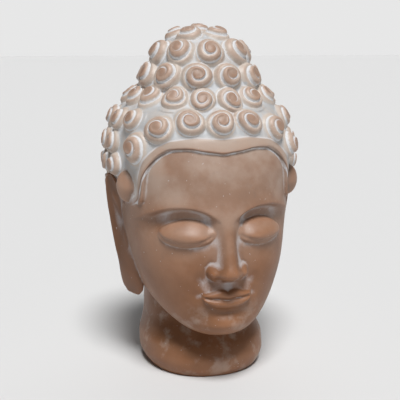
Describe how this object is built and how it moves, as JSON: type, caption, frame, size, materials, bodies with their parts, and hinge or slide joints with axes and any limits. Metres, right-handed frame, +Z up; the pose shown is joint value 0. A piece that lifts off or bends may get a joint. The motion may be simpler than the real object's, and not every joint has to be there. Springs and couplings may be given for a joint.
{
  "type": "buddha head",
  "caption": "Free-standing moulded terracotta head of a Buddha with snail-shell curls, a domed topknot, closed eyes, long ears and a short flared neck that ends in a flat foot.",
  "frame": {"origin": "on the flat underside of the neck, near its middle", "axes": "+Z up to the topknot, the face looks along -Y, +X to the head's left ear"},
  "size_m": [0.2332, 0.2706, 0.4005],
  "materials": {
    "terracotta": null
  },
  "bodies": {
    "root": {"buddha_head": "terracotta"}
  },
  "joints": []
}
